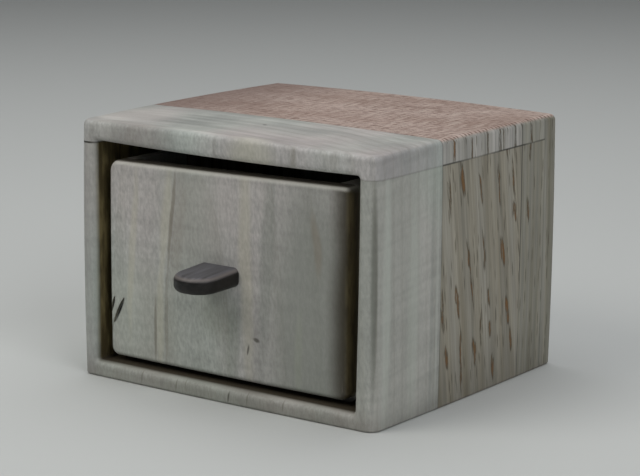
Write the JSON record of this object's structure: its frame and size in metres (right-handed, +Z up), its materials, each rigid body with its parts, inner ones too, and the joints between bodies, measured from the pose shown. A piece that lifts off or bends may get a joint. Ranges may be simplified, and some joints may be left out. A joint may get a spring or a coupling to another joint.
{
  "type": "wooden puzzle box",
  "caption": "Small laminated wooden box sawn from a solid block, with a sliding drawer, a dark tab pull and a hidden tilt pin that locks the drawer.",
  "frame": {"origin": "centre of the flat base of the case", "axes": "+Z up along the grain, +X to the right seen from the front, and the drawer opens towards -Y"},
  "size_m": [0.0858, 0.0885, 0.063],
  "materials": {
    "maple": "sanded and oiled, grain upright",
    "oak": "sanded and oiled, open pores, grain upright",
    "dark_hardwood": "polished and oiled",
    "steel": "drawn rod, broken edges"
  },
  "bodies": {
    "case": {"case_front_block": "maple", "case_middle_block": "oak", "case_rear_block": "oak", "top_front_strip": "maple", "top_middle_strip": "oak", "top_rear_strip": "oak", "back_panel": "oak"},
    "drawer": {"drawer_front": "maple", "drawer_front_trough": "maple", "drawer_middle_trough": "oak", "drawer_rear_trough": "oak", "drawer_back": "oak", "drawer_pull": "dark_hardwood"},
    "lock_pin": {"lock_pin": "steel"}
  },
  "joints": [
    {"name": "drawer_slide", "type": "slide", "parent": "case", "child": "drawer", "axis": [0, -1, 0], "range_m": [0, 0.072]},
    {"name": "lock_pin_slide", "type": "slide", "parent": "drawer", "child": "lock_pin", "axis": [1, 0, 0], "range_m": [0, 0.0065]}
  ]
}
